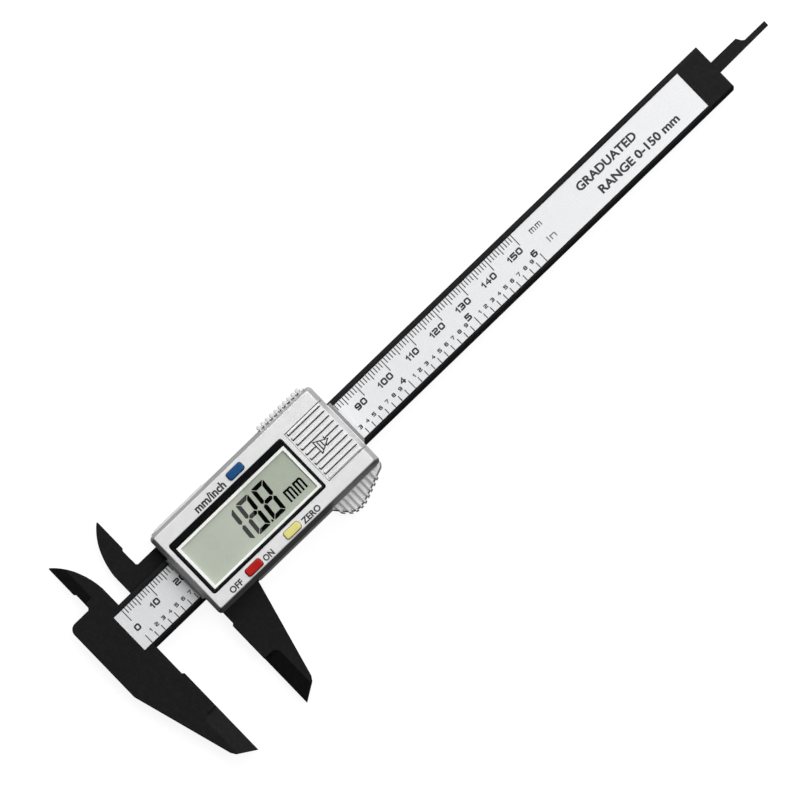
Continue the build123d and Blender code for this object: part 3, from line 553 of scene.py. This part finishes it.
def pale_floor():
    """A plain floor with the slightest paper-like unevenness. Its glow keeps the shadows faint."""
    g = Graph("pale_floor")
    g.paint(g.colours(g.noise(30.0, 3.0), (0.15, 0.15, 0.15), (0.16, 0.16, 0.16)))
    g.set(Roughness=0.9, Specular_IOR_Level=0.1, Emission_Color=(1, 1, 1, 1), Emission_Strength=0.9)
    g.relief((g.noise(2.0, 3.0), 0.02))
    return g.material


MATERIALS = {
    "black_composite": black_composite(),
    "silver_paint": silver_paint(),
    "gloss_black": moulded_plastic(
        "gloss_black", (0.0045, 0.0045, 0.005), 0.12, grain=0.4, depth=0.0008, contrast=0.2, rounded=0.06
    ),
    # The white plastic has a painted glow: it shines a little by itself, so that the display's rim looks
    # brighter.
    "white_plastic": moulded_plastic(
        "white_plastic", (0.95, 0.95, 0.935), 0.42, grain=0.15, depth=0.003, contrast=0.02, rounded=0.08,
        glow=0.02
    ),
    "connector_rubber": moulded_plastic(
        "connector_rubber", (0.55, 0.5, 0.46), 0.7, grain=0.3, depth=0.01, contrast=0.1
    ),
    "black_resin": moulded_plastic(
        "black_resin", (0.008, 0.008, 0.008), 0.25, grain=0.8, depth=0.01, contrast=0.2
    ),
    "ceramic_parts": moulded_plastic(
        "ceramic_parts", (0.3, 0.2, 0.12), 0.4, grain=0.1, contrast=0.2, rounded=0.05
    ),
    "dark_grey_plastic": moulded_plastic("dark_grey_plastic", (0.03, 0.03, 0.032), 0.5),
    "blue_button": button_plastic("blue_button", (0.004, 0.062, 0.19), contrast=0.15, gloss=0.2),
    "red_button": button_plastic("red_button", (0.42, 0.006, 0.003), contrast=0.15, gloss=0.2),
    "yellow_button": button_plastic("yellow_button", (0.68, 0.63, 0.2), contrast=0.08, gloss=0.5),
    "scale_foil": printed_film("scale_foil", (0.705, 0.708, 0.722), sheen=0.1),
    "rear_label_film": printed_film("rear_label_film", (0.62, 0.625, 0.64), sheen=0.25),
    "reflector_film": printed_film("reflector_film", (0.7, 0.71, 0.69), sheen=0.6),
    "steel": metal("steel", (0.66, 0.66, 0.67), 0.3),
    "cell_steel": metal("cell_steel", (0.78, 0.78, 0.79), 0.22, brush=(8, 1, 1)),
    "spring_bronze": metal("spring_bronze", (0.62, 0.4, 0.18), 0.32, brush=(14, 1, 1)),
    "contact_metal": metal("contact_metal", (0.72, 0.66, 0.5), 0.28, brush=(14, 1, 1)),
    "clear_window": clear_window(),
    "lcd_glass": display_glass(),
    "circuit_board": circuit_board(),
}
BLACK_INK = ink("black_ink", (0.008, 0.008, 0.009))
GREY_INK = ink("grey_ink", (0.1, 0.1, 0.105))
LEGEND_INK = ink("legend_ink", (0.012, 0.012, 0.013))
SEGMENT_INK = display_segment()


def dress_cad_nodes():
    """Gives every CAD node the material of its slot in the record."""
    for part in frame["record"]["subparts"]:
        for slot in nodes[part["node"]].material_slots:
            slot.material = MATERIALS[part["material_slot"]]


# --- Printing on the beam, in beam coordinates ------------------------------------------------------
INK_ROOT = 0.01 * MM  # how far a print reaches into the surface that it is on
INK_DEPTH = 0.02 * MM
LABEL_PRINT = (LABEL_TOP - INK_ROOT, LABEL_TOP + INK_DEPTH)
SCALE_ZERO = -0.4  # the printed zero
SCALE_EDGE = 6.15  # where the graduations start, on both sides
TICK_WIDTH = 0.28
TEN_TICK, FIVE_TICK, ONE_TICK = 3.95, 2.6, 1.85  # lengths of the millimetre graduations
INCH_TICK, TENTH_TICK = 2.85, 1.8
LARGE = {"cell": 1.82, "gap": 0.24, "height": 1.92, "stroke": 0.5}
SMALL = {"cell": 1.1, "gap": 0.2, "height": 1.17, "stroke": 0.3}
UNITS = {"cell": 1.85, "gap": 0.42, "height": 1.45, "stroke": 0.32}
BOLDER = 0.035
MM_NUMERAL_GAP, MM_NUMERAL_Y = 0.4, 0.28  # from a numeral's right to its graduation, and its bottom
TENTH_NUMERAL_GAP, TENTH_NUMERAL_Y = 0.1, -3.92
INCH_NUMERAL_LEFT, INCH_NUMERAL_Y = 2.1, -3.1  # from an inch numeral's left to its graduation
ZERO_Y = -1.2


def tick(bm, x, edge, length):
    """One graduation line across the scale, from its edge inwards."""
    low, high = sorted((edge, edge - math.copysign(length, edge)))
    left, right = x - TICK_WIDTH / 2, x + TICK_WIDTH / 2
    corners = [(left, low), (right, low), (right, high), (left, high)]
    prism(bm, [(a * MM, BEAM_Y + b * MM) for a, b in corners], LABEL_PRINT)


def millimetre_ticks(bm):
    """A line for every millimetre to 150, longer at each five and ten."""
    for value in range(151):
        length = TEN_TICK if value % 10 == 0 else FIVE_TICK if value % 5 == 0 else ONE_TICK
        tick(bm, SCALE_ZERO + value, SCALE_EDGE, length)


def millimetre_numerals(bm):
    """The tens, each to the left of its line, and the zero under its own."""
    for value in range(10, 151, 10):
        left = SCALE_ZERO + value - MM_NUMERAL_GAP - text_width(str(value), LARGE)
        lettering(bm, str(value), left, MM_NUMERAL_Y, LARGE, LABEL_PRINT)
    lettering(bm, "0", SCALE_ZERO - LARGE["cell"] / 2, ZERO_Y, LARGE, LABEL_PRINT)


def inch_ticks(bm):
    """A line for every tenth of an inch to 6, longer at each inch."""
    for tenth in range(61):
        length = INCH_TICK if tenth % 10 == 0 else TENTH_TICK
        tick(bm, SCALE_ZERO + tenth * INCH / 10, -SCALE_EDGE, length)


def inch_numerals(bm):
    """The inches in large numerals, and the tenths between them in small ones."""
    for tenth in range(1, 61):
        x = SCALE_ZERO + tenth * INCH / 10
        inches, rest = divmod(tenth, 10)
        if rest:
            left = x - TENTH_NUMERAL_GAP - text_width(str(rest), SMALL)
            lettering(bm, str(rest), left, TENTH_NUMERAL_Y, SMALL, LABEL_PRINT)
        else:
            lettering(bm, str(inches), x - INCH_NUMERAL_LEFT, INCH_NUMERAL_Y, LARGE, LABEL_PRINT)


def unit_letters(bm):
    """The unit at the end of each scale."""
    lettering(bm, "mm", 154.1, 2.15, UNITS, LABEL_PRINT)
    lettering(bm, "in", 156.1, -2.95, UNITS, LABEL_PRINT)


def range_note(bm):
    """A note of the range, in two lines."""
    sans_text(bm, "GRADUATED", (171.9, 194.0, 1.1, 3.75), LABEL_PRINT, BOLDER)
    sans_text(bm, "RANGE 0-150 mm", (176.2, 205.9, -3.7, -1.05), LABEL_PRINT, BOLDER)


def print_scale():
    """The graduations, numerals and lettering on the beam's label."""
    add_print("millimetre_ticks", millimetre_ticks, BLACK_INK, "beam")
    add_print("millimetre_numerals", millimetre_numerals, BLACK_INK, "beam")
    add_print("inch_ticks", inch_ticks, BLACK_INK, "beam")
    add_print("inch_numerals", inch_numerals, BLACK_INK, "beam")
    add_print("unit_letters", unit_letters, GREY_INK, "beam")
    add_print("range_note", range_note, BLACK_INK, "beam")


# --- Display digits ---------------------------------------------------------------------------------
# Places are in millimetres from the slider's datum line and the beam's centre line.
DIGIT_X = (19.55, 25.5, 31.4)  # centres
DIGIT_Y = -0.32
DIGIT_HALF = (2.35, 5.35)  # half a digit's width and height
DIGIT_SLANT = 0.083
SEGMENT = 1.24  # width of a segment
SEGMENT_GAP = 0.24
CORNER_CUT = 0.38
MIDDLE_INSET = 0.25  # how much shorter the middle segment is than the digit at each end
OUTER_REACH = 0.1  # how much longer the side segments are outside than inside
LIT = {"1": "bc", "8": "abcdefg"}
POINT = ((27.8, -5.55), (28.5, -5.55), (28.35, -4.8), (27.95, -4.8))
READING_UNIT = {"cell": 3.0, "gap": 0.48, "height": 3.75, "stroke": 0.6}
READING_UNIT_PLACE = (35.4, -5.3)
READING_UNIT_SLANT = 0.04
SEGMENT_DEPTH = 0.03 * MM


def segment_outline(which):
    """A display segment's outline about the digit's centre. a is the top one, and b to f follow
    clockwise; g is the middle one."""
    half_x, half_y = DIGIT_HALF
    half, gap, cut = SEGMENT / 2, SEGMENT_GAP / 2, CORNER_CUT
    if which in "ad":
        shape = [
            (-half_x + cut + gap, half_y),
            (half_x - cut - gap, half_y),
            (half_x - cut / 2 - gap, half_y - cut / 2),
            (half_x - SEGMENT - gap, half_y - SEGMENT),
            (-half_x + SEGMENT + gap, half_y - SEGMENT),
            (-half_x + cut / 2 + gap, half_y - cut / 2),
        ]
    elif which == "g":
        shape = [
            (-half_x + half + MIDDLE_INSET, 0),
            (-half_x + SEGMENT + gap, half),
            (half_x - SEGMENT - gap, half),
            (half_x - half - MIDDLE_INSET, 0),
            (half_x - SEGMENT - gap, -half),
            (-half_x + SEGMENT + gap, -half),
        ]
    else:
        shape = [
            (half_x, half_y - cut - gap),
            (half_x - cut / 2, half_y - cut / 2 - gap),
            (half_x - SEGMENT, half_y - SEGMENT - gap),
            (half_x - SEGMENT, half + gap),
            (half_x - half, gap),
            (half_x, half - OUTER_REACH + gap),
        ]
    if which in "cde":
        shape = [(x, -y) for x, y in reversed(shape)]
    if which in "ef":
        shape = [(-x, y) for x, y in reversed(shape)]
    return shape


def display_digits(bm):
    """The reading 18.8, with its decimal point and unit."""
    heights = (GLASS_TOP - INK_ROOT, GLASS_TOP + SEGMENT_DEPTH)
    for centre, digit in zip(DIGIT_X, "188"):
        for which in LIT[digit]:
            outline = []
            for x, y in segment_outline(which):
                across = SLIDER_X + (centre + x + DIGIT_SLANT * y) * MM
                outline.append((across, BEAM_Y + (DIGIT_Y + y) * MM))
            prism(bm, outline, heights)
    prism(bm, [(SLIDER_X + x * MM, BEAM_Y + y * MM) for x, y in POINT], heights)
    left, bottom = READING_UNIT_PLACE
    lettering(bm, "mm", SLIDER_X / MM + left, bottom, READING_UNIT, heights, READING_UNIT_SLANT)


# --- Printing on the slider -------------------------------------------------------------------------
def legends(bm):
    """The words beside the buttons, with their boxes from the slider's datum line and the beam's
    centre line."""
    heights = (FACE_Z - INK_ROOT, FACE_Z + INK_DEPTH)
    for text, left, right, bottom, top in (
        ("mm/inch", 14.75, 25.75, 10.25, 12.85),
        ("OFF", 6.15, 10.6, -12.4, -10.45),
        ("ON", 19.0, 22.5, -12.4, -10.45),
        ("ZERO", 33.85, 40.4, -12.4, -10.45),
    ):
        box = (SLIDER_X / MM + left, SLIDER_X / MM + right, bottom, top)
        sans_text(bm, text, box, heights, BOLDER)


def rear_table(bm):
    """A table of inch fractions in millimetres on the slider's back, in three columns that run from
    +X to -X, because it is read from behind."""
    rows, columns = 7, 3
    column_step, row_step, height = 14.6, 2.5, 1.25
    letter_width, value_shift, bolder = 0.85, 6.4, 0.01
    start, top = SLIDER_X / MM + 51.5, 8.0
    heights = (REAR_LABEL_BACK - INK_DEPTH, REAR_LABEL_BACK + INK_ROOT)
    for index in range(columns * rows):
        column, row = divmod(index, rows)
        x, y = start - column * column_step, top - row * row_step
        sixty_fourths = 3 * (index + 1)
        divisor = math.gcd(sixty_fourths, 64)
        fraction = f"{sixty_fourths // divisor}/{64 // divisor}"
        value = f"{sixty_fourths * INCH / 64:.2f}"
        for text, right in ((fraction, x), (value, x - value_shift)):
            box = (right - letter_width * len(text), right, y - height, y)
            sans_text(bm, text, box, heights, bolder, mirrored=True)


def print_slider():
    """The legends, the rear table and the display's digits."""
    add_print("legends", legends, LEGEND_INK, "slider")
    add_print("rear_table", rear_table, BLACK_INK, "slider")
    add_print("display_digits", display_digits, SEGMENT_INK, "slider")


# --- Stage ------------------------------------------------------------------------------------------
# Lengths here are in metres where no comment says otherwise.
VIEW_CENTRE = Vector((95.8 * MM, BEAM_Y - 5.52 * MM, BACK_Z + 6.1 * MM))
VIEW_WIDTH = 0.2221
VIEW_DISTANCE = 2.5
VIEW_TILT = math.radians(2.0)
BEAM_ANGLE = math.radians(44.03)  # from the picture's horizontal to the beam
SENSOR = 36.0  # millimetres, as the lens is
CLIPPING = (0.05, 20.0)

FLOOR_HALF = 1.6
FLOOR_THICK = 0.02
FLOOR_GAP = 0.02 * MM  # under the slider's back
WORLD_STRENGTH = 0.015

LIGHTS = (  # name, direction from the caliper, distance, size, watts
    ("key", (0.53, 0.49, 1.0), 1.5, 1.5, 18.5),
    ("overhead", (0.35, -0.35, 1.0), 1.6, 0.9, 10.0),
    ("left_fill", (-1.0, 0.15, 0.55), 1.6, 0.7, 1.2),
    ("upper_fill", (0.15, 1.0, 0.35), 1.6, 0.9, 9.5),
    ("right_fill", (1.0, 0.1, 0.35), 1.6, 0.7, 6.0),
)

CARD_SIZE = (0.07, 0.09)
CARD_HEIGHT = 1.0
CARD_RADIANCE = 0.62
CARD_LEAN = math.radians(-18)
GLARE_EDGE = (26.3, 0.8)  # a point on the glare's edge, from the slider's datum line, in millimetres


def add_camera():
    """A long lens from above, tipped a little towards the outside jaws."""
    back = Vector((0, -math.sin(VIEW_TILT), math.cos(VIEW_TILT)))
    right = Vector((math.cos(BEAM_ANGLE), -math.sin(BEAM_ANGLE), 0))
    right = (right - right.dot(back) * back).normalized()
    camera = bpy.data.cameras.new("camera")
    camera.sensor_width = SENSOR
    camera.lens = SENSOR * VIEW_DISTANCE / VIEW_WIDTH
    camera.clip_start, camera.clip_end = CLIPPING
    holder = add_object("camera", camera)
    turn = Matrix((right, back.cross(right), back)).transposed().to_4x4()
    holder.matrix_world = Matrix.Translation(VIEW_CENTRE + back * VIEW_DISTANCE) @ turn
    bpy.context.scene.camera = holder


def add_light(name, direction, distance, size, power):
    """A round soft light that faces the middle of the view from the given direction."""
    lamp = bpy.data.lights.new(name, "AREA")
    lamp.shape = "DISK"
    lamp.size = size
    lamp.energy = power
    holder = add_object(name, lamp)
    way = Vector(direction).normalized()
    holder.location = VIEW_CENTRE + way * distance
    holder.rotation_mode = "QUATERNION"
    holder.rotation_quaternion = way.to_track_quat("Z", "Y")
    holder.visible_camera = False


def add_glare_card():
    """A small dim card high above, which the left of the display window mirrors. It lies to the left
    of the point that the camera sees mirrored in the glare's edge, and lights only the window."""
    lamp = bpy.data.lights.new("glare_card", "AREA")
    lamp.shape = "RECTANGLE"
    lamp.size, lamp.size_y = CARD_SIZE
    lamp.energy = CARD_RADIANCE * math.pi * lamp.size * lamp.size_y
    holder = add_object("glare_card", lamp)
    x, y = GLARE_EDGE
    edge = Vector((SLIDER_X + x * MM, BEAM_Y + y * MM, GLASS_TOP))
    sight = edge - bpy.context.scene.camera.matrix_world.translation
    mirrored = Vector((sight.x, sight.y, -sight.z))
    seen = edge + mirrored * (CARD_HEIGHT / mirrored.z)
    turn = Matrix.Rotation(CARD_LEAN, 4, "Z")
    holder.matrix_world = Matrix.Translation(seen) @ turn @ Matrix.Translation((-lamp.size / 2, 0, 0))
    receivers = bpy.data.collections.new("glare_receivers")
    receivers.objects.link(nodes["display_window"])
    holder.light_linking.receiver_collection = receivers


def add_floor():
    """The floor, which only the camera sees: it throws no light back and nothing mirrors it."""
    corners = [(x * FLOOR_HALF, y * FLOOR_HALF) for x, y in ((-1, -1), (1, -1), (1, 1), (-1, 1))]
    mesh = mesh_from("floor", lambda bm: prism(bm, corners, (-FLOOR_THICK, 0)))
    mesh.materials.append(pale_floor())
    floor = add_object("floor", mesh)
    floor.location = (VIEW_CENTRE.x, VIEW_CENTRE.y, BACK_Z - FLOOR_GAP)
    floor.visible_diffuse = False
    floor.visible_glossy = False


def add_world():
    """A faint even light from all round."""
    world = bpy.data.worlds.new("world")
    world.use_nodes = True
    background = world.node_tree.nodes["Background"]
    background.inputs["Color"].default_value = (1, 1, 1, 1)
    background.inputs["Strength"].default_value = WORLD_STRENGTH
    bpy.context.scene.world = world


dress_cad_nodes()
print_scale()
print_slider()
add_floor()
add_world()
for light in LIGHTS:
    add_light(*light)
add_camera()
add_glare_card()
bpy.context.scene.view_settings.view_transform = "Standard"

bpy.context.view_layer.update()
